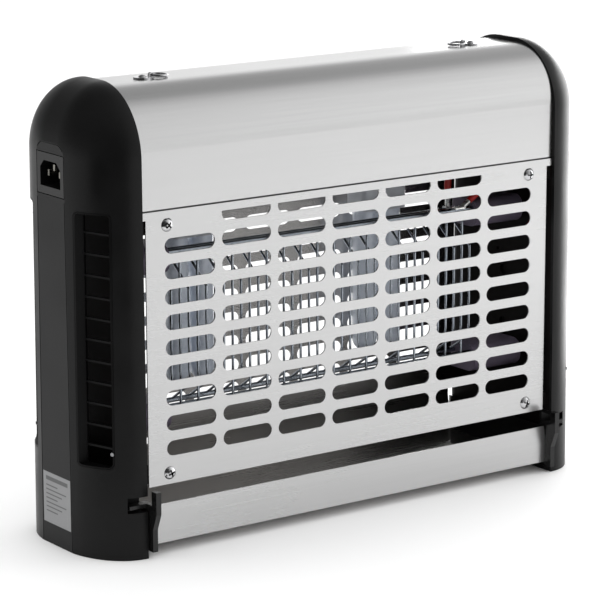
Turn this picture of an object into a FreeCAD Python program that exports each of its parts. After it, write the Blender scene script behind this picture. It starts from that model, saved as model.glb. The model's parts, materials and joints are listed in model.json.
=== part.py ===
import FreeCAD, Part
import math
import os
import re

# Electric insect killer: two moulded end caps carry a sheet hood, two slotted
# plates, a wire grid, two compact lamps and a pull-out tray.
# Millimetres. +X right, +Y back, +Z up. The origin is on the floor under the middle
# of the bounding box. The tray's pull bars stand out at the front only, so the middle
# of the caps lies datum_y behind it; the outlines below are drawn about the caps.

V = FreeCAD.Vector
doc = FreeCAD.newDocument("InsectKiller")
sheet = doc.addObject("Spreadsheet::Sheet", "Sizes")

SIZES = [
    ("datum_y", 4.5),
    # end caps
    ("cap_height", 308.0), ("cap_inner_x", 171.0), ("cap_outer_x", 205.5),
    ("cap_half_bottom", 57.0), ("cap_half_top", 55.0), ("cap_corner", 46.5),
    ("cap_straight", 1.0), ("cap_round_x", 34.0), ("cap_round_y", 46.0), ("cap_wall", 2.6),
    ("cap_trim", 0.02), ("rim_inset", 0.25), ("rim_width", 0.6), ("rim_depth", 0.5),
    ("notch_outer_x", 184.5), ("notch_back_y", 46.0), ("notch_low", 31.5), ("notch_high", 42.0),
    ("notch_wall", 2.4), ("inner_panel_thick", 2.4), ("inner_panel_gap", 0.2),
    # vent windows on the rounded corners
    ("vent_low", 61.0), ("vent_pitch", 14.0), ("vent_count", 12), ("vent_rib", 1.3),
    ("vent_near_x", 191.1), ("vent_near_y", 49.0), ("vent_far_x", 204.5), ("vent_far_y", 24.5),
    ("vent_corner", 4.0), ("vent_gap", 0.2), ("vent_reach_in", 7.0), ("vent_reach_out", 8.0),
    ("vent_edge", 1.3), ("vent_rim", 1.4), ("vent_slope", 5.2), ("vent_sill", 4.6),
    ("vent_back", 2.6), ("vent_thick", 2.2), ("vent_opening_corner", 2.2),
    ("vent_recess_corner", 3.0),
    ("vent_screw_z", 71.5), ("vent_screw_radius", 1.2), ("vent_screw_along", 1.4),
    # inlet and label on the left cap
    ("inlet_z", 249.0), ("inlet_flange_width", 32.6), ("inlet_flange_height", 26.8),
    ("inlet_flange_thick", 1.6), ("inlet_gap", 0.55), ("inlet_boss", 2.2), ("inlet_mouth_width", 24.6), ("inlet_mouth_height", 16.8),
    ("inlet_chamfer", 4.6), ("inlet_mouth_depth", 15.5), ("inlet_body_wall", 1.6),
    ("inlet_body_depth", 21.0), ("pin_length", 12.5), ("pin_wide", 4.0), ("pin_thin", 2.0),
    ("pin_spacing", 14.0), ("pin_earth_rise", 4.0),
    ("label_width", 34.0), ("label_height", 34.6), ("label_low", 14.0), ("label_thick", 0.3),
    # hood
    ("hood_half_width", 170.8), ("hood_half_depth", 52.2), ("hood_top", 305.2),
    ("hood_corner", 39.0), ("hood_sheet", 1.0), ("hood_low", 228.6),
    ("rail_low", 222.5), ("rail_high", 227.6), ("rail_outer_y", 53.0), ("rail_inner_y", 46.0),
    ("rail_sheet", 1.0), ("rail_fold_low", 226.7), ("rail_fold_high", 227.4),
    # slotted plates
    ("plate_half_width", 166.8), ("plate_low", 45.8), ("plate_high", 226.4),
    ("plate_outer_y", 51.9), ("plate_sheet", 1.0), ("slot_pitch_x", 44.4), ("slot_length", 38.8),
    ("slot_radius", 5.1), ("slot_low_z", 69.5), ("slot_pitch_z", 16.8), ("slot_columns", 7),
    ("slot_rows", 9), ("plate_screw_x", 150.5), ("plate_screw_low", 53.2),
    ("plate_screw_high", 217.95), ("screw_head_radius", 4.5), ("screw_head_high", 2.6),
    ("screw_cross_long", 5.0), ("screw_cross_wide", 1.2), ("screw_cross_deep", 1.7),
    ("screw_shank_radius", 1.5), ("screw_length", 6.5), ("boss_half", 5.0), ("boss_reach", 25.5),
    ("boss_depth", 8.0), ("panel_hole_radius", 3.8), ("panel_hole_y", 1.0),
    ("panel_hole_deep", 1.8), ("panel_hole_high", 138.9), ("panel_hole_low", 100.0), ("panel_pip_radius", 1.5),
    ("panel_pip_y", 5.4), ("panel_pip_z", 153.4),
    # high-voltage grid
    ("wire_pitch", 7.0), ("wire_radius", 0.9), ("wire_half_count", 18),
    ("back_row_y", 3.0), ("bar_radius", 1.8), ("bar_half_length", 133.0),
    ("front_bar_high", 191.0), ("front_bar_low", 86.5), ("front_bar_y", 16.2), ("front_row_y", 17.6),
    ("back_bar_high", 187.5), ("back_bar_low", 84.8), ("bend_high", 165.0), ("bend_low", 100.0),
    ("bend_rise", 16.8), ("bend_drop", 14.0),
    ("block_inner_x", 129.0), ("block_front_y", 21.5), ("block_back_y", 8.0),
    ("block_height", 19.0), ("block_round", 8.0), ("block_edge", 3.0), ("block_high_z", 177.5), ("block_low_z", 72.0),
    # lamps
    ("lamp_x", 80.0), ("lamp_y", 31.0), ("limb_radius", 8.75), ("limb_spacing", 20.6),
    ("limb_low", 87.5), ("limb_high", 190.0), ("lamp_base_width", 38.0),
    ("lamp_base_depth", 24.0), ("lamp_base_high", 222.0), ("socket_high", 240.0),
    ("socket_margin", 2.5), ("bridge_radius", 3.2), ("bridge_z", 103.0),
    # shelf and parts in the hood
    ("shelf_z", 227.4), ("shelf_sheet", 1.2), ("shelf_half_depth", 49.6),
    ("shelf_half_width", 170.4), ("transformer_x", 118.0), ("transformer_length", 46.0),
    ("transformer_depth", 38.0), ("transformer_height", 36.0), ("ballast_length", 62.0),
    ("ballast_depth", 28.0), ("ballast_height", 20.0), ("ballast_x", 35.0),
    ("front_lead_radius", 2.2), ("back_lead_radius", 2.5), ("crimp_radius", 1.9),
    ("crimp_long", 6.0), ("crimp_gap", 0.35),
    ("front_tag_x", 110.0), ("front_tag_y", 20.0), ("back_tag_x", 122.2), ("back_tag_half", 2.4),
    # collection tray
    ("tray_half_width", 166.6), ("tray_front_y", 55.3), ("tray_low", 8.0), ("tray_high", 34.4),
    ("tray_rear_high", 40.0), ("tray_sheet", 0.8), ("tray_nick_x", 1.2), ("tray_nick_z", 9.0), ("end_outer_x", 170.5),
    ("end_inner_x", 167.0), ("clip_inner_x", 166.7), ("clip_low", 5.0), ("clip_high", 46.0),
    ("clip_lower_y", 61.6), ("clip_upper_y", 66.0), ("clip_depth", 5.6), ("clip_knee_low", 20.0),
    ("clip_knee_high", 31.0), ("lug_low", 33.6), ("lug_high", 36.4), ("lug_outer_x", 183.6),
    ("lug_front_y", 54.6), ("lug_back_y", 48.0), ("lug_round", 0.6),
    # hanging rings on the hood
    ("hanger_x", 136.5), ("hanger_y", 3.0), ("hanger_flange_radius", 6.0),
    ("hanger_flange_high", 1.1), ("hanger_foot_high", 1.2), ("hanger_tab_x", 6.6),
    ("hanger_tab_radius", 1.8), ("hanger_tab_thick", 2.2), ("rivet_radius", 3.0), ("rivet_high", 2.6),
    ("ring_radius", 5.8), ("ring_wire_radius", 0.8), ("ring_rise", 1.8), ("ring_hole_gap", 0.4),
    ("ring_tilt", 3.0),
]
ALIASES = {alias for alias, value in SIZES}
for row, (alias, value) in enumerate(SIZES, 1):
    sheet.set("A%d" % row, alias)
    sheet.set("B%d" % row, "%g" % value)
    sheet.setAlias("B%d" % row, alias)
doc.recompute()


# ---------------------------------------------------------------- helpers

def size(text):
    """Value of an alias, read back from the sheet."""
    return float(sheet.get(text))


def tied(text):
    """Expression text with every alias pointed at the sheet."""
    return re.sub(r"[a-z][a-z_]*", lambda m: "Sizes." + m.group(0) if m.group(0) in ALIASES else m.group(0), text)


AXIS_X, AXIS_Y, AXIS_Z = V(1, 0, 0), V(0, 1, 0), V(0, 0, 1)
CAP_MIDDLE = V(0, size("datum_y"), 0)


def block(name, x, y, z):
    """Box between pairs of expressions along each axis."""
    box = doc.addObject("Part::Box", name)
    for axis, side, (low, high) in (("x", "Length", x), ("y", "Width", y), ("z", "Height", z)):
        box.setExpression(side, tied("(%s) - (%s)" % (high, low)))
        shift = " + datum_y" if axis == "y" else ""
        box.setExpression("Placement.Base.%s" % axis, tied(low + shift))
    return box


def join(name, parts):
    fused = doc.addObject("Part::MultiFuse", name)
    fused.Shapes = parts
    return fused


def cut(name, base, tools):
    tool = tools[0]
    if len(tools) > 1:
        tool = join(name + "_tools", tools)
    result = doc.addObject("Part::Cut", name)
    result.Base = base
    result.Tool = tool
    return result


def group(name, parts):
    """Separate solids that belong to one node, such as identical screws."""
    compound = doc.addObject("Part::Compound", name)
    compound.Links = parts
    return compound


def mirrored_back(name, source):
    """Copy of a front part at the rear, across the middle of the caps."""
    mirror = doc.addObject("Part::Mirroring", name)
    mirror.Source = source
    mirror.Normal = AXIS_Y
    mirror.Base = CAP_MIDDLE
    return mirror


def made(name, shape):
    """Object whose shape comes from Part functions."""
    feature = doc.addObject("Part::Feature", name)
    feature.Shape = shape
    feature.Placement = FreeCAD.Placement(CAP_MIDDLE, FreeCAD.Rotation())
    return feature


def new_body(name):
    body = doc.addObject("PartDesign::Body", name)
    body.Placement = FreeCAD.Placement(CAP_MIDDLE, FreeCAD.Rotation())
    return body


def along(edge, axis):
    """True when a straight edge runs along the given axis."""
    if not isinstance(edge.Curve, (Part.Line, Part.LineSegment)):
        return False
    direction = edge.tangentAt(edge.FirstParameter)
    return abs(abs(direction.dot(axis)) - 1) < 1e-6


def sketch_on(body, role, name, offset=None):
    """Sketch on one of the body's own origin planes, moved along its normal."""
    sketch = body.newObject("Sketcher::SketchObject", name)
    plane = [feature for feature in body.Origin.OriginFeatures if feature.Role == role][0]
    sketch.AttachmentSupport = [(plane, "")]
    sketch.MapMode = "FlatFace"
    if offset:
        sketch.setExpression("AttachmentOffset.Base.z", tied(offset))
    return sketch


def polygon(sketch, points):
    """Closed outline whose corners are pairs of expressions."""
    import Sketcher
    values = [(value_of(u), value_of(v)) for u, v in points]
    count = len(points)
    for i in range(count):
        start, end = values[i], values[(i + 1) % count]
        sketch.addGeometry(Part.LineSegment(V(*start, 0), V(*end, 0)), False)
    for i in range(count):
        sketch.addConstraint(Sketcher.Constraint("Coincident", i, 2, (i + 1) % count, 1))
    for i, (u, v) in enumerate(points):
        for kind, text, value in (("DistanceX", u, values[i][0]), ("DistanceY", v, values[i][1])):
            index = sketch.addConstraint(Sketcher.Constraint(kind, i, 1, value))
            sketch.setExpression("Constraints[%d]" % index, tied(text))


def value_of(text):
    """Number that an expression of aliases works out to."""
    probe = doc.getObject("Probe") or doc.addObject("App::FeaturePython", "Probe")
    if not hasattr(probe, "Answer"):
        probe.addProperty("App::PropertyFloat", "Answer")
    probe.setExpression("Answer", tied(text))
    probe.recompute()
    return float(probe.Answer)


def circles(sketch, centres, radius):
    import Sketcher
    for number, (u, v) in enumerate(centres):
        centre = V(value_of(u), value_of(v), 0)
        sketch.addGeometry(Part.Circle(centre, AXIS_Z, value_of(radius)), False)
        for kind, text, value in (("DistanceX", u, centre.x), ("DistanceY", v, centre.y)):
            index = sketch.addConstraint(Sketcher.Constraint(kind, number, 3, value))
            sketch.setExpression("Constraints[%d]" % index, tied(text))
        index = sketch.addConstraint(Sketcher.Constraint("Radius", number, value_of(radius)))
        sketch.setExpression("Constraints[%d]" % index, tied(radius))


def obround(sketch, u, v, length, radius):
    """One slot outline centred on (u, v)."""
    import Sketcher
    cx, cy, r = value_of(u), value_of(v), value_of(radius)
    half = value_of("(%s) / 2 - (%s)" % (length, radius))
    left, right = V(cx - half, cy, 0), V(cx + half, cy, 0)
    up = V(0, r, 0)
    sketch.addGeometry(Part.LineSegment(left + up, right + up), False)
    sketch.addGeometry(Part.ArcOfCircle(Part.Circle(right, AXIS_Z, r), -math.pi / 2, math.pi / 2), False)
    sketch.addGeometry(Part.LineSegment(right - up, left - up), False)
    sketch.addGeometry(Part.ArcOfCircle(Part.Circle(left, AXIS_Z, r), math.pi / 2, 3 * math.pi / 2), False)
    for first, end, second, start in ((0, 2, 1, 2), (1, 1, 2, 1), (2, 2, 3, 2), (3, 1, 0, 1)):
        sketch.addConstraint(Sketcher.Constraint("Tangent", first, end, second, start))
    sketch.addConstraint(Sketcher.Constraint("Equal", 1, 3))
    rules = (
        ("Radius", (1,), r, radius),
        ("DistanceX", (1, 3), right.x, "(%s) + (%s) / 2 - (%s)" % (u, length, radius)),
        ("DistanceY", (1, 3), cy, v),
        ("DistanceX", (3, 3), left.x, "(%s) - (%s) / 2 + (%s)" % (u, length, radius)),
        ("DistanceY", (3, 3), cy, v),
    )
    for kind, where, value, text in rules:
        index = sketch.addConstraint(Sketcher.Constraint(kind, *where, value))
        sketch.setExpression("Constraints[%d]" % index, tied(text))


def pad(body, sketch, name, length, midplane=False):
    feature = body.newObject("PartDesign::Pad", name)
    feature.Profile = sketch
    feature.setExpression("Length", tied(length))
    feature.Midplane = midplane
    body.Tip = feature
    return feature


def pocket_through(body, sketch, name):
    feature = body.newObject("PartDesign::Pocket", name)
    feature.Profile = sketch
    feature.Type = "ThroughAll"
    feature.Midplane = True
    body.Tip = feature
    return feature


def repeated(body, name, feature, sketch, runs):
    """Repeat a feature along sketch axes: (axis, pitch, count) for each run."""
    pattern = body.newObject("PartDesign::MultiTransform", name)
    pattern.Originals = [feature]
    steps = []
    for number, (axis, pitch, count) in enumerate(runs):
        step = body.newObject("PartDesign::LinearPattern", "%s_run%d" % (name, number))
        step.Direction = (sketch, [axis])
        step.Mode = "Spacing"
        step.setExpression("Offset", tied(pitch))
        step.setExpression("Occurrences", tied(count))
        steps.append(step)
    pattern.Transformations = steps
    body.Tip = pattern
    return pattern


# ---------------------------------------------------------------- end caps

def cap_wire(x, inset, trim, floor):
    """Inverted-U outline at x, drawn in by inset for the rounding and trim for the wall."""
    lean = (size("cap_half_bottom") - size("cap_half_top")) / (size("cap_height") - size("cap_corner"))
    low = size("cap_half_bottom") - lean * floor - inset - trim
    high = size("cap_half_top") - inset - trim
    top = size("cap_height") - inset - trim
    corner = size("cap_corner") - inset - trim
    flat = high - corner
    bend = corner * math.sqrt(0.5)
    centre_z = top - corner
    edges = [Part.LineSegment(V(x, -low, floor), V(x, -high, centre_z))]
    edges.append(Part.Arc(V(x, -high, centre_z), V(x, -flat - bend, centre_z + bend), V(x, -flat, top)))
    edges.append(Part.LineSegment(V(x, -flat, top), V(x, flat, top)))
    edges.append(Part.Arc(V(x, flat, top), V(x, flat + bend, centre_z + bend), V(x, high, centre_z)))
    edges.append(Part.LineSegment(V(x, high, centre_z), V(x, low, floor)))
    edges.append(Part.LineSegment(V(x, low, floor), V(x, -low, floor)))
    return Part.Wire([edge.toShape() for edge in edges])


def cap_solid(wall, start):
    """Right-hand cap body, cut flat underneath; wall > 0 gives the hollow inside it."""
    reach_x = size("cap_round_x") - wall
    reach_y = size("cap_round_y") - wall
    begin = size("cap_inner_x") + size("cap_straight")
    last = size("cap_outer_x") - wall - begin
    sunk = wall - size("cap_trim")
    wires = [cap_wire(start, 0, wall, sunk)]
    for share in (0.0, 0.18, 0.36, 0.52, 0.66, 0.78, 0.87, 0.94, 1.0):
        step = last * share
        inset = reach_y * (1 - math.sqrt(1 - (step / reach_x) ** 2))
        wires.append(cap_wire(begin + step, inset, wall, sunk))
    below = Part.makeBox(100, 200, 20, V(start - 10, -100, wall - 20))
    return Part.makeLoft(wires, True, False).cut(below)


CAP_OUTER = cap_solid(0.0, size("cap_inner_x"))
CAP_HOLLOW = cap_solid(size("cap_wall"), size("cap_inner_x") - 1.0)


def rim_groove():
    """Fine groove just inside the edge of the flat outer face, open at the bottom."""
    last = size("cap_outer_x") - size("cap_inner_x") - size("cap_straight")
    inset = size("cap_round_y") * (1 - math.sqrt(1 - (last / size("cap_round_x")) ** 2))
    start = size("cap_outer_x") - size("rim_depth")
    rings = []
    for trim in (size("rim_inset"), size("rim_inset") + size("rim_width")):
        rings.append(Part.Face(cap_wire(start, inset, trim, -1)).extrude(V(5, 0, 0)))
    return rings[0].cut(rings[1])


VENT_TOP = size("vent_low") + size("vent_pitch") * size("vent_count")


def vent_frame(side_y):
    """Corner point, unit vector along the window and outward normal, for front or rear."""
    near = V(size("vent_near_x"), side_y * size("vent_near_y"), 0)
    far = V(size("vent_far_x"), side_y * size("vent_far_y"), 0)
    run = far - near
    width = run.Length
    run.normalize()
    out = V(-side_y * run.y, side_y * run.x, 0)
    if out.x < 0:
        out = out * -1
    return near, run, out, width


def vent_prism(side_y, points, low, high):
    """Upright prism from (along, outward) points in the window's own frame."""
    near, run, out, width = vent_frame(side_y)
    corners = [near + run * along_it + out * outward for along_it, outward in points]
    for corner in corners:
        corner.z = low
    face = Part.Face(Part.makePolygon(corners + [corners[0]]))
    return face.extrude(V(0, 0, high - low))


def vent_window(side_y, margin, inside, outside):
    """Rounded-corner window block through the cap wall."""
    near, run, out, width = vent_frame(side_y)
    low, high = size("vent_low") - margin, VENT_TOP + margin
    points = [(-margin, -inside), (width + margin, -inside), (width + margin, outside), (-margin, outside)]
    prism = vent_prism(side_y, points, low, high)
    edges = [edge for edge in prism.Edges if along(edge, out)]
    return prism.makeFillet(size("vent_corner"), edges)


def rounded_across(prism, out, radius):
    """Prism with the edges that run through the wall rounded."""
    return prism.makeFillet(radius, [edge for edge in prism.Edges if along(edge, out)])


def vent_insert(side_y):
    """Louvre insert: a rim round one tall opening, a slope at its far side and thin ribs across."""
    near, run, out, width = vent_frame(side_y)
    low, high = size("vent_low"), VENT_TOP
    reach_in, reach_out = size("vent_reach_in"), size("vent_reach_out")
    edge, rim, slope, sill = size("vent_edge"), size("vent_rim"), size("vent_slope"), size("vent_sill")
    back, thick = size("vent_back"), size("vent_thick")
    shape = vent_window(side_y, -size("vent_gap"), reach_in, reach_out).common(CAP_OUTER)
    shelf = width - slope
    recess = [(edge, reach_out), (edge, -0.5), (shelf, -sill), (width - edge, 0.4), (width - edge, reach_out)]
    recess = rounded_across(vent_prism(side_y, recess, low + rim, high - rim), out, size("vent_recess_corner"))
    shape = shape.cut(recess)
    behind = [(-2, -back), (shelf, -sill - thick), (width + 2, -sill - thick), (width + 2, -12), (-2, -12)]
    shape = shape.cut(vent_prism(side_y, behind, low - 1, high + 1))
    opening = vent_prism(side_y, [(edge + 0.3, 2), (shelf - 0.4, 2), (shelf - 0.4, -12), (edge + 0.3, -12)],
                         low + rim, high - rim)
    opening = rounded_across(opening, out, size("vent_opening_corner"))
    for number in range(1, int(size("vent_count"))):
        rib_low = low + number * size("vent_pitch") - size("vent_rib") / 2
        rib = [(-2, 3), (width + 2, 3), (width + 2, -13), (-2, -13)]
        opening = opening.cut(vent_prism(side_y, rib, rib_low, rib_low + size("vent_rib")))
    return shape.cut(opening).cut(vent_screw(side_y, size("vent_gap") / 4))


def vent_screw(side_y, extra):
    """Small screw near the window's lower corner, or its hole when extra > 0."""
    near, run, out, width = vent_frame(side_y)
    seat = near + run * size("vent_screw_along") + V(0, 0, size("vent_screw_z"))
    radius = size("vent_screw_radius") + extra
    shank = Part.makeCylinder(radius / 2, 3.4, seat - out * 4.2, out)
    head = Part.makeCylinder(radius, 1.4 + extra, seat - out * 0.8, out)
    return shank.fuse(head)


def notch_box(grow, inner_x):
    """Space in the cap's front edge for the tray lug; grow > 0 gives its housing."""
    low, high = size("notch_low") - grow, size("notch_high") + grow
    outer, back = size("notch_outer_x") + grow, size("notch_back_y") - grow
    return Part.makeBox(outer - inner_x, 70 - back, high - low, V(inner_x, -70, low))


def cap_shell():
    shell = CAP_OUTER.cut(CAP_HOLLOW)
    housing = notch_box(size("notch_wall"), size("cap_inner_x")).common(CAP_OUTER)
    shell = shell.fuse(housing).cut(notch_box(0, size("cap_inner_x") - 1)).cut(rim_groove())
    for side_y in (-1, 1):
        shell = shell.cut(vent_window(side_y, 0, 9.0, 8.0))
    return shell.removeSplitter()


RIGHT_CAP = cap_shell()


def mirror_x(shape):
    return shape.mirror(V(0, 0, 0), AXIS_X)


def left_cap_shell():
    """Left cap: as the right one, with the inlet cut-out and the label pocket."""
    face_x = size("cap_outer_x")
    gap, margin = size("inlet_gap"), 2.5
    wide, tall = size("inlet_flange_width") + 2 * gap, size("inlet_flange_height") + 2 * gap
    thick, z = size("inlet_flange_thick"), size("inlet_z")
    seat = Part.makeBox(thick, wide, tall, V(face_x - thick, -wide / 2, z - tall / 2))
    deep = thick + size("inlet_boss")
    pad_block = Part.makeBox(deep, wide + 2 * margin, tall + 2 * margin,
                             V(face_x - deep, -wide / 2 - margin, z - tall / 2 - margin))
    hole_wide = size("inlet_mouth_width") + 2 * size("inlet_body_wall") + 0.4
    hole_tall = size("inlet_mouth_height") + 2 * size("inlet_body_wall") + 0.4
    hole = Part.makeBox(30, hole_wide, hole_tall, V(face_x - 30, -hole_wide / 2, z - hole_tall / 2))
    pocket = Part.makeBox(size("label_thick"), size("label_width") + 0.2, size("label_height") + 0.2,
                          V(face_x - size("label_thick"), -size("label_width") / 2 - 0.1, size("label_low") - 0.1))
    shell = RIGHT_CAP.fuse(pad_block.common(CAP_OUTER)).cut(seat).cut(hole).cut(pocket)
    return mirror_x(shell.removeSplitter())


made("right_end_cap", RIGHT_CAP)
made("left_end_cap", left_cap_shell())

for side_y, word in ((-1, "front"), (1, "rear")):
    insert = vent_insert(side_y)
    made("right_%s_vent" % word, insert)
    made("left_%s_vent" % word, mirror_x(insert))

VENT_SCREWS = []
for side_y in (-1, 1):
    screw = vent_screw(side_y, 0)
    VENT_SCREWS.extend([screw, mirror_x(screw)])
made("vent_screws", Part.makeCompound(VENT_SCREWS))


def inner_panel():
    """Flat panel closing the cap's open side, with bosses for the plate screws."""
    gap = size("inner_panel_gap")
    inner, thick = size("cap_inner_x"), size("inner_panel_thick")
    wire = cap_wire(inner, 0, size("cap_wall") + gap, size("cap_wall") + gap)
    panel = Part.Face(wire).extrude(V(thick, 0, 0))
    panel = panel.cut(notch_box(size("notch_wall") + gap, inner - 1))
    half, reach = size("boss_half"), size("boss_reach")
    front = size("plate_outer_y") - size("plate_sheet") - 0.1
    for side_y in (-1, 1):
        for z in (size("plate_screw_low"), size("plate_screw_high")):
            y = front - size("boss_depth") if side_y > 0 else -front
            boss = Part.makeBox(reach, size("boss_depth"), 2 * half, V(inner - reach, y, z - half))
            panel = panel.fuse(boss)
            hole = Part.makeCylinder(size("screw_shank_radius") + 0.05, 30,
                                     V(size("plate_screw_x"), -15 + side_y * front, z), AXIS_Y)
            panel = panel.cut(hole)
    hole_places = [(size("panel_hole_radius"), -size("panel_hole_y"), size("panel_hole_high")),
                   (size("panel_hole_radius"), -size("panel_hole_y"), size("panel_hole_low")),
                   (size("panel_pip_radius"), size("panel_pip_y"), size("panel_pip_z"))]
    for radius, y, z in hole_places:
        panel = panel.cut(Part.makeCylinder(radius, size("panel_hole_deep") + 1, V(inner - 1, y, z), AXIS_X))
    return panel.removeSplitter()


PANEL = inner_panel()
made("right_inner_panel", PANEL)
made("left_inner_panel", mirror_x(PANEL))

# ---------------------------------------------------------------- hood


def hood_part(name, grow, low):
    """Inverted-U block with rounded shoulders, drawn in by grow."""
    outer = block(name + "_block",
                  ("-hood_half_width - (%s)" % ("0" if grow == "0" else "5"),
                   "hood_half_width + (%s)" % ("0" if grow == "0" else "5")),
                  ("-hood_half_depth + (%s)" % grow, "hood_half_depth - (%s)" % grow),
                  (low, "hood_top - (%s)" % grow))
    doc.recompute()
    top = value_of("hood_top - (%s)" % grow)
    fillet = doc.addObject("Part::Fillet", name)
    fillet.Base = outer
    radius = value_of("hood_corner - (%s)" % grow)
    fillet.Edges = [(i, radius, radius) for i, edge in enumerate(outer.Shape.Edges, 1)
                    if along(edge, AXIS_X) and abs(edge.CenterOfMass.z - top) < 0.01]
    return fillet


cut("hood", hood_part("hood_outside", "0", "hood_low"), [hood_part("hood_hollow", "hood_sheet", "hood_low - 5")])

# Folded strip under the hood's front edge, and its copy at the rear.
strip = block("front_rail_strip", ("-hood_half_width", "hood_half_width"),
              ("-rail_outer_y", "-rail_outer_y + rail_sheet"), ("rail_low", "rail_high"))
fold = block("front_rail_fold", ("-hood_half_width", "hood_half_width"),
             ("-rail_outer_y", "-rail_inner_y"), ("rail_fold_low", "rail_fold_high"))
mirrored_back("rear_rail", join("front_rail", [strip, fold]))

# ---------------------------------------------------------------- slotted plates


def slotted_plate(name):
    body = new_body(name)
    outline = sketch_on(body, "XZ_Plane", name + "_outline", "plate_outer_y - plate_sheet")
    polygon(outline, [("-plate_half_width", "plate_low"), ("plate_half_width", "plate_low"),
                      ("plate_half_width", "plate_high"), ("-plate_half_width", "plate_high")])
    pad(body, outline, name + "_sheet", "plate_sheet")
    first = sketch_on(body, "XZ_Plane", name + "_slot", "plate_outer_y")
    obround(first, "-slot_pitch_x * (slot_columns - 1) / 2", "slot_low_z", "slot_length", "slot_radius")
    slot = pocket_through(body, first, name + "_slot_cut")
    repeated(body, name + "_slots", slot, first,
             [("H_Axis", "slot_pitch_x", "slot_columns"), ("V_Axis", "slot_pitch_z", "slot_rows")])
    top = sketch_on(body, "XZ_Plane", name + "_top_slot", "plate_outer_y")
    obround(top, "-slot_pitch_x * (slot_columns - 3) / 2", "slot_low_z + slot_pitch_z * slot_rows",
            "slot_length", "slot_radius")
    top_slot = pocket_through(body, top, name + "_top_cut")
    repeated(body, name + "_top_row", top_slot, top, [("H_Axis", "slot_pitch_x", "slot_columns - 2")])
    holes = sketch_on(body, "XZ_Plane", name + "_holes", "plate_outer_y")
    corners = [(side + "plate_screw_x", z) for side in ("-", "") for z in ("plate_screw_low", "plate_screw_high")]
    circles(holes, corners, "screw_shank_radius + 0.3")
    pocket_through(body, holes, name + "_screw_holes")
    return body


front_plate = slotted_plate("front_grille")
rear_plate = mirrored_back("rear_grille", front_plate)


def plate_screw(side_y, x, z, turn):
    """Domed cross-recess screw, head against the plate, its cross turned by some degrees."""
    face = side_y * size("plate_outer_y")
    out = V(0, side_y, 0)
    seat = V(x, face, z)
    radius, high = size("screw_head_radius"), size("screw_head_high")
    sphere_radius = (radius ** 2 + high ** 2) / (2 * high)
    dome = Part.makeSphere(sphere_radius, seat + out * (high - sphere_radius))
    head = Part.makeCylinder(radius, high, seat, out).common(dome)
    long, wide, deep = size("screw_cross_long"), size("screw_cross_wide"), size("screw_cross_deep")
    for quarter in (0, 90):
        arm = Part.makeBox(long, wide, deep, V(-long / 2, -wide / 2, high - deep))
        arm.Placement = FreeCAD.Placement(seat, FreeCAD.Rotation(AXIS_Z, out)) * FreeCAD.Placement(
            V(0, 0, 0), FreeCAD.Rotation(AXIS_Z, turn + quarter))
        head = head.cut(arm)
    shank = Part.makeCylinder(size("screw_shank_radius"), size("screw_length"), seat - out * size("screw_length"), out)
    return head.fuse(shank)


PLATE_SCREWS = []
for side_y in (-1, 1):
    for side_x in (-1, 1):
        for z in (size("plate_screw_low"), size("plate_screw_high")):
            turn = 20 + 23 * len(PLATE_SCREWS)
            PLATE_SCREWS.append(plate_screw(side_y, side_x * size("plate_screw_x"), z, turn))
made("plate_screws", Part.makeCompound(PLATE_SCREWS))

# ---------------------------------------------------------------- inlet and label

inlet_face = "-cap_outer_x"
flange = block("inlet_flange", (inlet_face, inlet_face + " + inlet_flange_thick"),
               ("-inlet_flange_width / 2", "inlet_flange_width / 2"),
               ("inlet_z - inlet_flange_height / 2", "inlet_z + inlet_flange_height / 2"))
barrel = block("inlet_barrel", (inlet_face, inlet_face + " + inlet_body_depth"),
               ("-inlet_mouth_width / 2 - inlet_body_wall", "inlet_mouth_width / 2 + inlet_body_wall"),
               ("inlet_z - inlet_mouth_height / 2 - inlet_body_wall",
                "inlet_z + inlet_mouth_height / 2 + inlet_body_wall"))
mouth_box = block("inlet_mouth_box", (inlet_face + " - 1", inlet_face + " + inlet_mouth_depth"),
                  ("-inlet_mouth_width / 2", "inlet_mouth_width / 2"),
                  ("inlet_z - inlet_mouth_height / 2", "inlet_z + inlet_mouth_height / 2"))
doc.recompute()
mouth = doc.addObject("Part::Chamfer", "inlet_mouth")
mouth.Base = mouth_box
mouth.Edges = [(i, size("inlet_chamfer"), size("inlet_chamfer"))
               for i, edge in enumerate(mouth_box.Shape.Edges, 1)
               if along(edge, AXIS_X) and edge.CenterOfMass.z > size("inlet_z")]

pins = []
pin_root = inlet_face + " + inlet_mouth_depth - pin_length"
pin_tip = inlet_face + " + inlet_body_depth + 4"
pin_places = [("0", "inlet_z + pin_earth_rise", "earth"), ("-pin_spacing / 2", "inlet_z", "line"),
              ("pin_spacing / 2", "inlet_z", "neutral")]
for y, z, word in pin_places:
    pins.append(block("pin_" + word, (pin_root, pin_tip), (y + " - pin_thin / 2", y + " + pin_thin / 2"),
                      (z + " - pin_wide / 2", z + " + pin_wide / 2")))
group("inlet_pins", pins)
pin_holes = [block("pin_hole_" + word, (pin_root, pin_tip), (y + " - pin_thin / 2", y + " + pin_thin / 2"),
                   (z + " - pin_wide / 2", z + " + pin_wide / 2")) for y, z, word in pin_places]
cut("inlet_body", join("inlet_solid", [flange, barrel]), [mouth] + pin_holes)
block("rating_label", (inlet_face, inlet_face + " + label_thick"), ("-label_width / 2", "label_width / 2"),
      ("label_low", "label_low + label_height"))

# ---------------------------------------------------------------- high-voltage grid


def bar(y, z):
    half = size("bar_half_length")
    return Part.makeCylinder(size("bar_radius"), 2 * half, V(-half, y, z), AXIS_X)


def straight_wire(x):
    low, high = size("front_bar_low"), size("front_bar_high")
    return Part.makeCylinder(size("wire_radius"), high - low, V(x, -size("front_row_y"), low), AXIS_Z)


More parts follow.
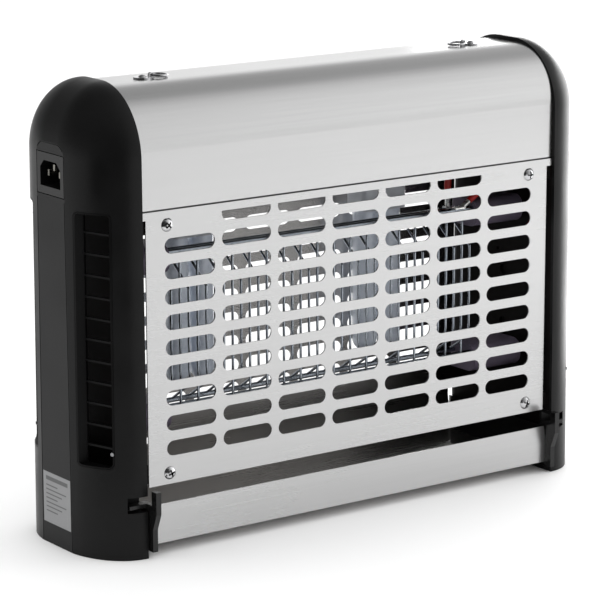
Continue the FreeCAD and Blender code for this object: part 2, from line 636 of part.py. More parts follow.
def bent_wire(x):
    """Wire that lies in the front row and steps back to the rear bars at both ends."""
    front, back = -size("front_row_y"), size("back_row_y")
    points = [V(x, back, size("back_bar_high")), V(x, back, size("bend_high") + size("bend_rise")),
              V(x, front, size("bend_high")), V(x, front, size("bend_low")),
              V(x, back, size("bend_low") - size("bend_drop")), V(x, back, size("back_bar_low"))]
    shape = None
    for start, end in zip(points, points[1:]):
        run = end - start
        piece = Part.makeCylinder(size("wire_radius"), run.Length, start, run)
        shape = piece if shape is None else shape.fuse([piece, Part.makeSphere(size("wire_radius"), start)])
    return shape


half_count = int(size("wire_half_count"))
wire_places = [number * size("wire_pitch") for number in range(-half_count, half_count + 1)]
front_wires = [straight_wire(x) for x in wire_places[1::2]]
back_wires = [bent_wire(x) for x in wire_places[0::2]]
BAR_PLACES = [(-size("front_bar_y"), size("front_bar_high")), (-size("front_bar_y"), size("front_bar_low")),
              (size("back_row_y"), size("back_bar_high")), (size("back_row_y"), size("back_bar_low"))]
bars = [bar(y, z) for y, z in BAR_PLACES]
made("front_grid", bars[0].fuse(bars[1:2] + front_wires))
made("back_grid", bars[2].fuse(bars[3:] + back_wires))


def insulator(z_low):
    """Moulded block that carries the bar ends off the inner panel."""
    inner, outer = size("block_inner_x"), size("cap_inner_x")
    front, back = size("block_front_y"), size("block_back_y")
    shape = Part.makeBox(outer - inner, front + back, size("block_height"), V(inner, -front, z_low))
    edges = [edge for edge in shape.Edges if along(edge, AXIS_X) and edge.CenterOfMass.y < 0]
    shape = shape.makeFillet(size("block_round"), edges)
    edges = [edge for edge in shape.Edges if along(edge, AXIS_Z) and edge.CenterOfMass.x < inner + 1
             and edge.CenterOfMass.y > 0]
    shape = shape.makeFillet(size("block_edge"), edges)
    hole_radius = size("bar_radius") + 0.1
    length = size("bar_half_length") - inner + 0.3
    for y, z in BAR_PLACES:
        shape = shape.cut(Part.makeCylinder(hole_radius, length + 2, V(inner - 2, y, z), AXIS_X))
    return shape


for z_name, word in (("block_high_z", "upper"), ("block_low_z", "lower")):
    shape = insulator(size(z_name))
    made("right_%s_insulator" % word, shape)
    made("left_%s_insulator" % word, mirror_x(shape))


def lead(points, radius):
    """Insulated lead along a smooth path."""
    curve = Part.BSplineCurve()
    curve.interpolate(points)
    path = Part.Wire(curve.toShape())
    direction = curve.tangent(curve.FirstParameter)[0]
    ring = Part.Wire(Part.makeCircle(radius, points[0], direction))
    return path.makePipeShell([ring], True, True)


def front_connection():
    """Flat tag on the front bar, its slanting crimp and the lead that climbs over the block."""
    tag_x, tag_y = size("front_tag_x"), size("front_tag_y")
    bar_top = size("front_bar_high") + size("bar_radius")
    tag = Part.makeBox(9, tag_y + 1.5 - size("front_bar_y") + 1.5, 0.8, V(tag_x, -tag_y - 1.5, bar_top))
    slant = V(11.8, 0, 7.4)
    slant.normalize()
    crimp_start = V(tag_x + 7.5, -tag_y, bar_top + 1.3)
    crimp = Part.makeCylinder(size("crimp_radius"), size("crimp_long"), crimp_start, slant)
    start = crimp_start + slant * (size("crimp_long") + size("crimp_gap"))
    path = [start, start + slant * 7.0, start + slant * 15.0, V(142, -tag_y + 3, 210), V(149, -tag_y + 8, 219),
            V(151, -tag_y + 9, size("shelf_z") - 0.6)]
    return tag.fuse(crimp), lead(path, size("front_lead_radius"))


def back_connection():
    """Clip round the back bar, its upright crimp and the lead above it."""
    x, y, z, half = size("back_tag_x"), size("back_row_y"), size("back_bar_high"), size("back_tag_half")
    clip = Part.makeBox(2 * half, 2 * half + 0.6, 5.4, V(x - half, y - half - 0.3, z - 2.7))
    clip = clip.cut(Part.makeCylinder(size("bar_radius") + 0.05, 20, V(x - 10, y, z), AXIS_X))
    crimp = Part.makeCylinder(size("crimp_radius"), 8.0, V(x, y, z + 2.6), AXIS_Z)
    start = V(x, y, z + 10.6 + size("crimp_gap"))
    path = [start, start + V(0, 0, 8), start + V(0.4, 0.3, 18), V(x + 1.4, y + 1, size("shelf_z") - 0.6)]
    return clip.fuse(crimp), lead(path, size("back_lead_radius"))


for word, connection in (("front", front_connection()), ("back", back_connection())):
    made(word + "_terminal", connection[0])
    made(word + "_lead", connection[1])

# ---------------------------------------------------------------- lamps


def lamp_tube(x):
    """Twin-limb tube hanging down, domed at the bottom."""
    radius = size("limb_radius")
    shape = None
    for side in (-1, 1):
        centre = V(x + side * size("limb_spacing") / 2, size("lamp_y"), size("limb_low") + radius)
        limb = Part.makeCylinder(radius, size("limb_high") - centre.z, centre, AXIS_Z)
        limb = limb.fuse(Part.makeSphere(radius, centre))
        shape = limb if shape is None else shape.fuse(limb)
    bridge = Part.makeCylinder(size("bridge_radius"), size("limb_spacing"),
                               V(x - size("limb_spacing") / 2, size("lamp_y"), size("bridge_z")), AXIS_X)
    return shape.fuse(bridge).removeSplitter()


def lamp_base(x):
    wide, deep = size("lamp_base_width"), size("lamp_base_depth")
    low, high = size("limb_high"), size("lamp_base_high")
    shape = Part.makeBox(wide, deep, high - low, V(x - wide / 2, size("lamp_y") - deep / 2, low))
    edges = [edge for edge in shape.Edges if along(edge, AXIS_Z)]
    return shape.makeFillet(5.0, edges)


def lamp_socket(x):
    """Holder above the base, its collar resting on the shelf."""
    wide = size("lamp_base_width") + 2 * size("socket_margin")
    deep = size("lamp_base_depth") + 2 * size("socket_margin")
    low, high = size("lamp_base_high") - 6, size("socket_high")
    body = Part.makeBox(wide, deep, high - low, V(x - wide / 2, size("lamp_y") - deep / 2, low))
    seat = lamp_base(x)
    room = Part.makeBox(size("lamp_base_width") + 0.4, size("lamp_base_depth") + 0.4, 6 + 0.1,
                        V(x - size("lamp_base_width") / 2 - 0.2, size("lamp_y") - size("lamp_base_depth") / 2 - 0.2, low - 0.1))
    return body.cut(room).cut(seat)


for side, word in ((-1, "left"), (1, "right")):
    made(word + "_lamp_tube", lamp_tube(side * size("lamp_x")))
    made(word + "_lamp_base", lamp_base(side * size("lamp_x")))
    made(word + "_lamp_socket", lamp_socket(side * size("lamp_x")))

# ---------------------------------------------------------------- shelf and electrics in the hood

shelf_sheet = block("shelf_sheet_block", ("-shelf_half_width", "shelf_half_width"),
                    ("-shelf_half_depth", "shelf_half_depth"), ("shelf_z", "shelf_z + shelf_sheet"))
cutouts = []
for sign, word in (("-", "left"), ("", "right")):
    x = sign + "lamp_x"
    cutouts.append(block("socket_cutout_" + word,
                         (x + " - lamp_base_width / 2 - socket_margin - 0.3", x + " + lamp_base_width / 2 + socket_margin + 0.3"),
                         ("lamp_y - lamp_base_depth / 2 - socket_margin - 0.3", "lamp_y + lamp_base_depth / 2 + socket_margin + 0.3"),
                         ("shelf_z - 1", "shelf_z + shelf_sheet + 1")))
cut("electrics_shelf", shelf_sheet, cutouts)

block("transformer", ("transformer_x - transformer_length / 2", "transformer_x + transformer_length / 2"),
      ("-transformer_depth / 2 - 10", "transformer_depth / 2 - 10"),
      ("shelf_z + shelf_sheet", "shelf_z + shelf_sheet + transformer_height"))
for sign, word in (("-", "left"), ("", "right")):
    x = sign + "ballast_x"
    block(word + "_ballast", (x + " - ballast_length / 2", x + " + ballast_length / 2"),
          ("-ballast_depth - 4", "-4"), ("shelf_z + shelf_sheet", "shelf_z + shelf_sheet + ballast_height"))
block("terminal_block", ("-140", "-112"), ("-20", "-6"), ("shelf_z + shelf_sheet", "shelf_z + shelf_sheet + 14"))

# ---------------------------------------------------------------- collection tray


def tray_pan():
    """Folded sheet trough: front and rear walls, floor, nicked upper corners."""
    body = new_body("tray_pan")
    section = sketch_on(body, "YZ_Plane", "tray_section")
    polygon(section, [
        ("-tray_front_y", "tray_low"), ("tray_front_y", "tray_low"), ("tray_front_y", "tray_rear_high"),
        ("tray_front_y - tray_sheet", "tray_rear_high"), ("tray_front_y - tray_sheet", "tray_low + tray_sheet"),
        ("-tray_front_y + tray_sheet", "tray_low + tray_sheet"), ("-tray_front_y + tray_sheet", "tray_high"),
        ("-tray_front_y", "tray_high")])
    pad(body, section, "tray_trough", "2 * tray_half_width", midplane=True)
    for sign, word in (("-", "left"), ("", "right")):
        nick = sketch_on(body, "XZ_Plane", "tray_nick_" + word)
        polygon(nick, [
            (sign + "(tray_half_width - tray_nick_x)", "tray_rear_high + 1"),
            (sign + "(tray_half_width + 1)", "tray_rear_high + 1"),
            (sign + "(tray_half_width + 1)", "tray_high - tray_nick_z"),
            (sign + "tray_half_width", "tray_high - tray_nick_z"),
            (sign + "(tray_half_width - tray_nick_x)", "tray_high")])
        pocket_through(body, nick, "tray_corner_" + word)
    return body


tray_pan()


def tray_end():
    """Moulded end of the tray with the pull bar and the lug that rides in the cap notch."""
    inner, outer = size("end_inner_x"), size("end_outer_x")
    front, low, high = size("tray_front_y") - 0.2, size("tray_low") - 0.4, size("tray_high") - 0.6
    plate = Part.makeBox(outer - inner, 2 * front, high - low, V(inner, -front, low))
    clip_low, clip_high, deep = size("clip_low"), size("clip_high"), size("clip_depth")
    knee_low, knee_high = size("clip_knee_low"), size("clip_knee_high")
    lower, upper = -size("clip_lower_y"), -size("clip_upper_y")
    outline = [V(0, lower, clip_low), V(0, lower, knee_low), V(0, upper, knee_high), V(0, upper, clip_high),
               V(0, upper + deep, clip_high), V(0, upper + deep, size("tray_high") + 1.5),
               V(0, -front + 3, size("tray_high") - 0.6), V(0, -front + 3, low), V(0, lower + deep, clip_low)]
    bar = Part.Face(Part.makePolygon(outline + [outline[0]])).extrude(V(outer - size("clip_inner_x"), 0, 0))
    bar.translate(V(size("clip_inner_x"), 0, 0))
    bar = bar.cut(Part.makeBox(3, 2 * size("tray_front_y") + 0.2, 60,
                               V(inner - 3, -size("tray_front_y") - 0.1, size("tray_low") - 0.2)))
    lug = Part.makeBox(size("lug_outer_x") - inner, size("lug_front_y") - size("lug_back_y"),
                       size("lug_high") - size("lug_low"), V(inner, -size("lug_front_y"), size("lug_low")))
    root = Part.makeBox(outer - inner, size("clip_upper_y") - deep - size("lug_back_y"),
                        size("lug_high") - size("lug_low"), V(inner, upper + deep, size("lug_low")))
    edges = [edge for edge in lug.Edges if along(edge, AXIS_X) and edge.CenterOfMass.y < -size("lug_front_y") + 0.1]
    lug = lug.makeFillet(size("lug_round"), edges)
    return plate.fuse([bar, lug, root]).removeSplitter()


TRAY_END = tray_end()
made("right_tray_end", TRAY_END)
made("left_tray_end", mirror_x(TRAY_END))

# ---------------------------------------------------------------- hanging rings


def ring_pivot(side):
    """Point in the eye that the ring's wire turns about."""
    return V(side * (size("hanger_x") - size("hanger_tab_x")), -size("hanger_y"), size("hood_top") + size("ring_rise"))


def hanger_base(side):
    """Round flange riveted to the hood, with the tab that holds the ring."""
    top = size("hood_top")
    centre = V(side * size("hanger_x"), -size("hanger_y"), top)
    flange_disc = Part.makeCylinder(size("hanger_flange_radius"), size("hanger_flange_high"), centre, AXIS_Z)
    rivet_radius, rivet_high = size("rivet_radius"), size("rivet_high")
    dome_radius = rivet_radius + 0.4
    rivet = Part.makeSphere(dome_radius, centre + V(0, 0, rivet_high - dome_radius))
    rivet = rivet.common(Part.makeCylinder(rivet_radius, rivet_high + 1, centre, AXIS_Z))
    thick, eye_radius = size("hanger_tab_thick"), size("hanger_tab_radius")
    pivot = ring_pivot(side)
    eye = Part.makeCylinder(eye_radius, thick, pivot - V(0, thick / 2, 0), AXIS_Y)
    foot_low = min(pivot.x, pivot.x + side * (eye_radius + 4))
    foot = Part.makeBox(eye_radius + 4, thick, size("hanger_foot_high"), V(foot_low, pivot.y - thick / 2, top))
    neck = Part.makeBox(2 * eye_radius, thick, size("ring_rise"), V(pivot.x - eye_radius, pivot.y - thick / 2, top))
    shape = flange_disc.fuse([rivet, eye, foot, neck])
    hole_radius = size("ring_wire_radius") + size("ring_hole_gap")
    hole = Part.makeCylinder(hole_radius, thick + 2, pivot - V(0, thick / 2 + 1, 0), AXIS_Y)
    return shape.cut(hole)


def hanger_ring(side):
    """Closed ring in the eye, its free end dropped close to the hood."""
    tilt = math.radians(size("ring_tilt"))
    inward = V(-side * math.cos(tilt), 0, -math.sin(tilt))
    upright = V(-side * math.sin(tilt), 0, math.cos(tilt))
    centre = ring_pivot(side) + inward * size("ring_radius")
    return Part.makeTorus(size("ring_radius"), size("ring_wire_radius"), centre, upright)


for side, word in ((-1, "left"), (1, "right")):
    made(word + "_hanger", hanger_base(side))
    made(word + "_hanger_ring", hanger_ring(side))

# ---------------------------------------------------------------- export

NODES = [
    "left_end_cap", "right_end_cap", "left_inner_panel", "right_inner_panel",
    "left_front_vent", "left_rear_vent", "right_front_vent", "right_rear_vent", "vent_screws",
    "hood", "front_rail", "rear_rail", "front_grille", "rear_grille", "plate_screws",
    "inlet_body", "inlet_pins", "rating_label",
    "front_grid", "back_grid",
    "left_upper_insulator", "left_lower_insulator", "right_upper_insulator", "right_lower_insulator",
    "front_terminal", "back_terminal", "front_lead", "back_lead",
    "left_lamp_tube", "right_lamp_tube", "left_lamp_base", "right_lamp_base",
    "left_lamp_socket", "right_lamp_socket",
    "electrics_shelf", "transformer", "left_ballast", "right_ballast", "terminal_block",
    "tray_pan", "left_tray_end", "right_tray_end",
    "left_hanger", "right_hanger", "left_hanger_ring", "right_hanger_ring",
]

probe = doc.getObject("Probe")
if probe:
    doc.removeObject("Probe")
doc.recompute()
os.makedirs("parts", exist_ok=True)
for name in NODES:
    node = doc.getObject(name)
    if "Invalid" in node.State or "Error" in node.State:
        raise RuntimeError("%s has state %s" % (name, node.State))
    shape = node.Shape
    if shape.isNull() or not shape.isValid():
        raise RuntimeError("%s has no valid shape" % name)
    if not shape.Solids:
        raise RuntimeError("%s holds no solid" % name)
    node.Label = name
    shape.exportStep("parts/%s.step" % name)
    box = shape.optimalBoundingBox()
    print("%-24s solids %2d volume %10.1f  x %7.1f %7.1f  y %6.1f %6.1f  z %6.1f %6.1f" % (
        name, len(shape.Solids), shape.Volume, box.XMin, box.XMax, box.YMin, box.YMax, box.ZMin, box.ZMax))
print("all %d nodes exported" % len(NODES))
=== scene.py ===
import bpy
import json
import math
from mathutils import Matrix, Vector


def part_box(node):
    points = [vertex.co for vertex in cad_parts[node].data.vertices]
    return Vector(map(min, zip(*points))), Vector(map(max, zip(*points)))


# Electric insect killer on a pale studio floor. Metres, in the CAD frame:
# +X right, +Y back, +Z up, origin on the floor under the middle of the part.

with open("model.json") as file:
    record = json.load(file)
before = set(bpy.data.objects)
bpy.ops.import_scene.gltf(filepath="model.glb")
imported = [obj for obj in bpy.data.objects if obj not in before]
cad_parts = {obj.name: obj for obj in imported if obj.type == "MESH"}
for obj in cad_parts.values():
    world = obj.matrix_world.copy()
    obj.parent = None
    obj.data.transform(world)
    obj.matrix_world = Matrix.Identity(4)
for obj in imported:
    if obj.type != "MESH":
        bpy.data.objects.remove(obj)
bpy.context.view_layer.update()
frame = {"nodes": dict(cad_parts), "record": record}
NODES = frame["nodes"]


# ---------------------------------------------------------------- node helpers

class NodeTree:
    """Short ways to add, set and wire the nodes of one tree."""

    def __init__(self, tree):
        self.tree = tree

    def node(self, kind, **settings):
        made = self.tree.nodes.new(kind)
        for key, value in settings.items():
            setattr(made, key, value)
        return made

    def link(self, output, socket):
        self.tree.links.new(output, socket)

    def feed(self, values, sockets):
        """Gives each socket its value, a number to store or an output to link."""
        for value, socket in zip(values, sockets):
            if isinstance(value, float):
                socket.default_value = value
            else:
                self.link(value, socket)

    def combined(self, operation, *values, clamp=False):
        """Result of one math operation on numbers or outputs."""
        made = self.node("ShaderNodeMath", operation=operation, use_clamp=clamp)
        self.feed(values, made.inputs)
        return made.outputs[0]

    def parts_of(self, vector):
        """The X, Y and Z outputs of a vector."""
        split = self.node("ShaderNodeSeparateXYZ")
        self.link(vector, split.inputs["Vector"])
        return split.outputs


class Material(NodeTree):
    """A node material whose Principled shader is wired by the methods below."""

    def __init__(self, name, colour, roughness, metallic=0.0):
        self.material = bpy.data.materials.new(name)
        self.material.use_nodes = True
        super().__init__(self.material.node_tree)
        self.shader = self.tree.nodes["Principled BSDF"]
        self.set("Base Color", (*colour, 1.0))
        self.set("Roughness", roughness)
        self.set("Metallic", metallic)
        self.place = self.node("ShaderNodeTexCoord").outputs["Object"]

    def set(self, socket, value):
        self.shader.inputs[socket].default_value = value

    def stretched(self, scale):
        """Object coordinates scaled along each axis."""
        mapping = self.node("ShaderNodeMapping")
        mapping.inputs["Scale"].default_value = scale
        self.link(self.place, mapping.inputs["Vector"])
        return mapping.outputs["Vector"]

    def noise(self, scale, detail=4.0, stretch=(1, 1, 1)):
        texture = self.node("ShaderNodeTexNoise")
        texture.inputs["Scale"].default_value = scale
        texture.inputs["Detail"].default_value = detail
        self.link(self.stretched(stretch), texture.inputs["Vector"])
        return texture.outputs["Fac"]

    def cells(self, scale):
        texture = self.node("ShaderNodeTexVoronoi")
        texture.inputs["Scale"].default_value = scale
        self.link(self.stretched((1, 1, 1)), texture.inputs["Vector"])
        return texture.outputs["Distance"]

    def ranged(self, value, low, high, start=0.3, end=0.7):
        """Value remapped so that start..end becomes low..high."""
        remap = self.node("ShaderNodeMapRange")
        remap.inputs["From Min"].default_value = start
        remap.inputs["From Max"].default_value = end
        remap.inputs["To Min"].default_value = low
        remap.inputs["To Max"].default_value = high
        self.link(value, remap.inputs["Value"])
        return remap.outputs["Result"]

    def mixed(self, factor, first, second):
        mix = self.node("ShaderNodeMix", data_type="RGBA")
        for number, colour in ((6, first), (7, second)):
            if isinstance(colour, tuple):
                mix.inputs[number].default_value = (*colour, 1.0)
            else:
                self.link(colour, mix.inputs[number])
        self.link(factor, mix.inputs[0])
        return mix.outputs[2]

    def paint(self, colour):
        self.link(colour, self.shader.inputs["Base Color"])

    def vary_roughness(self, value, low, high):
        self.link(self.ranged(value, low, high), self.shader.inputs["Roughness"])

    def vary_colour(self, value, first, second):
        self.paint(self.mixed(self.ranged(value, 0.0, 1.0), first, second))

    def bump(self, value, strength, distance):
        """Adds relief; later calls stack on earlier ones."""
        made = self.node("ShaderNodeBump")
        made.inputs["Strength"].default_value = strength
        made.inputs["Distance"].default_value = distance
        self.link(value, made.inputs["Height"])
        socket = self.shader.inputs["Normal"]
        if socket.is_linked:
            self.link(socket.links[0].from_socket, made.inputs["Normal"])
        self.link(made.outputs["Normal"], socket)


def shaded(colour, gain):
    """Colour made darker or lighter by one factor, no brighter than white."""
    return tuple(min(1.0, channel * gain) for channel in colour)


# ---------------------------------------------------------------- materials

SILVER = (0.51, 0.51, 0.51)
SHELF_STEEL = (0.16, 0.16, 0.16)
# Darker grey painted on the inside faces of the sheets: painted shade of the interior.
INSIDE_PAINTED_SHADE = (0.40, 0.39, 0.38)
RECESS_PAINTED_SHADE = (0.012, 0.012, 0.012)
INSET_BLACK = (0.003, 0.003, 0.0031)
ALONG_X = (0.012, 1, 1)
ALONG_Z = (1, 1, 0.03)
# The caps' middle lies behind the origin, because the tray's pull bars reach farther forward.
CAP_MIDDLE_Y = 0.0045
# Half of the step in Y over which the painted shade on a sheet's inside gives way to its outer finish.
SHEET_EDGE = 0.0001


def satin_sheet(name, colour, roughness, shade_inside_half=None):
    """Satin coated sheet: faint lines along its length and handling haze.

    Given a half width, faces nearer the middle than that (in Y) take a darker grey: painted shade of the
    unlit inside.
    """
    look = Material(name, colour, roughness, metallic=1.0)
    lines = look.noise(700.0, 3.0, ALONG_X)
    haze = look.noise(9.0, 5.0)
    streaks = look.ranged(lines, -0.010, 0.010)
    cloud = look.ranged(haze, roughness - 0.02, roughness + 0.02)
    look.link(look.combined("ADD", streaks, cloud), look.shader.inputs["Roughness"])
    finish = look.mixed(look.ranged(lines, 0.0, 1.0), shaded(colour, 0.98), shaded(colour, 1.02))
    if shade_inside_half is not None:
        centred = look.combined("SUBTRACT", look.parts_of(look.place)["Y"], CAP_MIDDLE_Y)
        reach = look.combined("ABSOLUTE", centred)
        outer = look.ranged(reach, 0.0, 1.0, shade_inside_half - SHEET_EDGE, shade_inside_half + SHEET_EDGE)
        # Painted shade: inside faces take the darker grey instead of the satin finish.
        finish = look.mixed(outer, INSIDE_PAINTED_SHADE, finish)
    look.paint(finish)
    look.bump(lines, 0.03, 0.00001)
    return look.material


def moulded(name, colour, roughness, grain_scale, grain_depth, coat=0.0, shine=0.2):
    """Moulded plastic: spark-eroded grain, slightly uneven gloss and a soft colour drift."""
    look = Material(name, colour, roughness)
    look.set("Specular IOR Level", shine)
    look.set("Coat Weight", coat)
    look.set("Coat Roughness", 0.12)
    grain = look.cells(grain_scale)
    fine = look.noise(grain_scale * 2.2, 3.0)
    drift = look.noise(22.0, 4.0)
    lighter = tuple(min(1.0, channel * 1.28 + 0.001) for channel in colour)
    look.vary_colour(drift, shaded(colour, 0.82), lighter)
    look.vary_roughness(drift, roughness - 0.05, roughness + 0.06)
    look.bump(grain, 0.35, grain_depth)
    look.bump(fine, 0.25, grain_depth * 0.6)
    return look.material


def plated(name, colour, roughness, recess=None):
    """Bright plating: polishing haze and tiny pits, and painted shade darkening corners closer than
    recess.
    """
    look = Material(name, colour, roughness, metallic=1.0)
    haze = look.noise(260.0, 4.0)
    look.vary_roughness(haze, roughness * 0.6, roughness * 1.7)
    finish = look.mixed(look.ranged(haze, 0.0, 1.0), shaded(colour, 0.9), colour)
    if recess is not None:
        # Painted shade: ambient occlusion darkens the driver recess and other close corners.
        corners = look.node("ShaderNodeAmbientOcclusion", samples=8)
        corners.inputs["Distance"].default_value = recess
        openness = look.ranged(corners.outputs["AO"], 0.0, 1.0, 0.6, 0.92)
        finish = look.mixed(openness, RECESS_PAINTED_SHADE, finish)
    look.paint(finish)
    look.bump(look.noise(1400.0, 2.0), 0.12, 0.00005)
    return look.material


def drawn_wire(name):
    """Drawn steel wire: draw marks along its length and dull patches."""
    look = Material(name, (0.32, 0.35, 0.39), 0.12, metallic=1.0)
    marks = look.noise(1600.0, 3.0, ALONG_Z)
    dull = look.noise(120.0, 4.0)
    look.vary_roughness(dull, 0.09, 0.2)
    look.vary_colour(marks, (0.27, 0.30, 0.34), (0.40, 0.43, 0.47))
    look.bump(marks, 0.15, 0.00004)
    return look.material


def lamp_glass(name):
    """Unlit coated lamp glass: milky powder inside, clear gloss outside, soft bands along it."""
    look = Material(name, (0.66, 0.72, 0.82), 0.3)
    look.set("Coat Weight", 1.0)
    look.set("Coat Roughness", 0.04)
    powder = look.noise(340.0, 5.0)
    bands = look.noise(14.0, 3.0, (0.2, 0.2, 1.0))
    milk = look.mixed(look.ranged(bands, 0.0, 1.0, 0.35, 0.65), (0.60, 0.66, 0.76), (0.74, 0.79, 0.88))
    look.paint(look.mixed(look.ranged(powder, 0.0, 0.35), milk, (0.80, 0.84, 0.92)))
    look.vary_roughness(powder, 0.24, 0.36)
    look.bump(powder, 0.05, 0.00005)
    return look.material


FILM, FILM_INK = (0.21, 0.212, 0.215), (0.06, 0.061, 0.063)
LABEL_MARGIN, BAR_SOFT = 0.10, 0.004
HEADING_LOW, HEADING_HIGH = 0.84, 0.92
LINE_COUNT, LINE_LOW, LINE_STEP, LINE_THICK = 7, 0.22, 0.085, 0.025


def label_bars():
    """Blank grey bars of the label as shares of its width and height: left, right, low, high."""
    bars = [(LABEL_MARGIN, 1.0 - LABEL_MARGIN, HEADING_LOW, HEADING_HIGH)]
    for row in range(LINE_COUNT):
        low = LINE_LOW + LINE_STEP * row
        bars.append((LABEL_MARGIN, 0.52 + 0.16 * (row % 3), low, low + LINE_THICK))
    return bars


def label_film(name):
    """Silvery label film with blank grey bars: no lettering."""
    look = Material(name, FILM, 0.45)
    lo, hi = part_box("rating_label")
    place = look.parts_of(look.place)
    across = look.ranged(place["Y"], 1.0, 0.0, lo.y, hi.y)
    upward = look.ranged(place["Z"], 0.0, 1.0, lo.z, hi.z)

    def band(value, start, end):
        """1 between start and end, 0 outside, with soft edges."""
        rise = look.ranged(value, 0.0, 1.0, start - BAR_SOFT, start + BAR_SOFT)
        fall = look.ranged(value, 1.0, 0.0, end - BAR_SOFT, end + BAR_SOFT)
        return look.combined("MULTIPLY", rise, fall)

    ink = None
    for left, right, low, high in label_bars():
        bar = look.combined("MULTIPLY", band(across, left, right), band(upward, low, high), clamp=True)
        ink = bar if ink is None else look.combined("MAXIMUM", ink, bar, clamp=True)
    look.paint(look.mixed(ink, FILM, FILM_INK))
    look.vary_roughness(look.noise(700.0, 3.0), 0.36, 0.5)
    look.bump(look.noise(300.0, 2.0), 0.06, 0.0001)
    return look.material


def rubber_lead(name):
    """Red sleeve: mottled, slightly glossy, with a fine rough skin."""
    look = Material(name, (0.42, 0.012, 0.008), 0.38)
    look.set("Coat Weight", 0.2)
    mottle = look.noise(200.0, 3.0)
    look.vary_colour(mottle, (0.34, 0.008, 0.006), (0.52, 0.02, 0.012))
    look.bump(look.noise(900.0, 2.0), 0.15, 0.00008)
    return look.material


def plastics():
    """Moulded parts: colour, roughness, grain scale and depth, and gloss where it isn't plain."""
    return [
        moulded("cap plastic", (0.004, 0.004, 0.0041), 0.36, 1500.0, 0.00008, shine=0.145),
        moulded("vent plastic", INSET_BLACK, 0.4, 1500.0, 0.00008, shine=0.09),
        moulded("panel plastic", (0.0045, 0.0035, 0.0034), 0.6, 1300.0, 0.0001, shine=0.06),
        moulded("tray end plastic", INSET_BLACK, 0.22, 1700.0, 0.00005, coat=0.1, shine=0.35),
        moulded("inlet plastic", INSET_BLACK, 0.32, 1700.0, 0.00005, coat=0.1),
        moulded("insulator plastic", (0.13, 0.11, 0.15), 0.42, 1200.0, 0.00008),
        moulded("socket plastic", (0.55, 0.54, 0.5), 0.5, 1200.0, 0.00008),
        moulded("lamp base plastic", (0.56, 0.58, 0.62), 0.36, 1500.0, 0.00004, coat=0.2),
        moulded("terminal plastic", (0.7, 0.68, 0.6), 0.4, 1400.0, 0.00005),
        moulded("transformer case", (0.012, 0.012, 0.014), 0.5, 900.0, 0.00012),
        moulded("ballast case", (0.66, 0.66, 0.63), 0.4, 1000.0, 0.00006),
    ]


def metals():
    """Sheet, plated and drawn metal parts."""
    return [
        satin_sheet("hood metal", SILVER, 0.25),
        satin_sheet("plate metal", SILVER, 0.27, shade_inside_half=0.05155),
        satin_sheet("tray metal", SILVER, 0.28, shade_inside_half=0.0549),
        satin_sheet("rail metal", SILVER, 0.26, shade_inside_half=0.0519),
        satin_sheet("shelf metal", SHELF_STEEL, 0.45),
        plated("screw plating", (0.62, 0.62, 0.63), 0.18, recess=0.002),
        plated("vent screw plating", (0.35, 0.35, 0.36), 0.3),
        plated("hanger plating", (0.55, 0.55, 0.56), 0.14),
        plated("pin plating", (0.26, 0.25, 0.22), 0.3),
        plated("terminal plating", (0.82, 0.82, 0.8), 0.25),
        drawn_wire("grid wire"),
    ]


MATERIAL_OF_SLOT = {
    "screw_metal": "screw plating", "vent_screw_metal": "vent screw plating",
    "hanger_metal": "hanger plating", "pin_metal": "pin plating",
    "terminal_metal": "terminal plating", "grid_metal": "grid wire",
}


def dress_nodes():
    """Gives every CAD node the material of its slot in the record."""
    finished = plastics() + metals()
    finished += [label_film("label film"), rubber_lead("lead sleeve"), lamp_glass("lamp glass")]
    by_name = {material.name: material for material in finished}
    for entry in frame["record"]["subparts"]:
        slot = entry["material_slot"]
        name = MATERIAL_OF_SLOT.get(slot, slot.replace("_", " "))
        slots = NODES[entry["node"]].data.materials
        slots.clear()
        slots.append(by_name[name])


dress_nodes()


# ---------------------------------------------------------------- edges

FOLD_EDGE, MOULD_EDGE = 0.0002, 0.0004


def soften(names, width):
    """Small rounded edges on CAD nodes, as folding or moulding leaves them."""
    for name in names:
        bevel = NODES[name].modifiers.new("edge", "BEVEL")
        bevel.width = width
        bevel.segments = 2
        bevel.limit_method = "ANGLE"
        bevel.angle_limit = math.radians(40.0)
        bevel.harden_normals = True


soften(("tray_pan", "front_grille", "rear_grille"), FOLD_EDGE)
soften(("left_tray_end", "right_tray_end", "inlet_body"), MOULD_EDGE)


# ---------------------------------------------------------------- floor

def placed(name, data):
    """A new object of the scene for a mesh, light or camera."""
    made = bpy.data.objects.new(name, data)
    bpy.context.scene.collection.objects.link(made)
    return made


FLOOR_SIZE, FLOOR_SINK = 14.0, 0.0002


def lay_floor():
    """Pale plain floor, a hair below the part so that the two never share a surface."""
    half = FLOOR_SIZE / 2
    corners = [(-half, -half, 0), (half, -half, 0), (half, half, 0), (-half, half, 0)]
    mesh = bpy.data.meshes.new("floor")
    mesh.from_pydata(corners, [], [(0, 1, 2, 3)])
    floor = placed("floor", mesh)
    floor.location.z = -FLOOR_SINK
    look = Material("floor", (0.96, 0.96, 0.96), 0.7)
    look.vary_roughness(look.noise(3.0, 3.0), 0.65, 0.8)
    look.vary_colour(look.noise(1.5, 3.0), (0.95, 0.95, 0.95), (0.97, 0.97, 0.97))
    mesh.materials.append(look.material)


lay_floor()


# ---------------------------------------------------------------- light

WORLD_STRENGTH = 1.2
GLOSS_GAIN = 1.40
SKY_STEPS = [(0.0, 1.0), (0.12, 1.0), (0.22, 0.44), (0.44, 0.40), (0.56, 0.80), (0.72, 0.95), (1.0, 1.0)]
SIDE_STEPS = [(0.30, 0.16), (0.55, 0.30), (0.70, 0.52), (0.80, 0.78), (0.88, 1.0)]


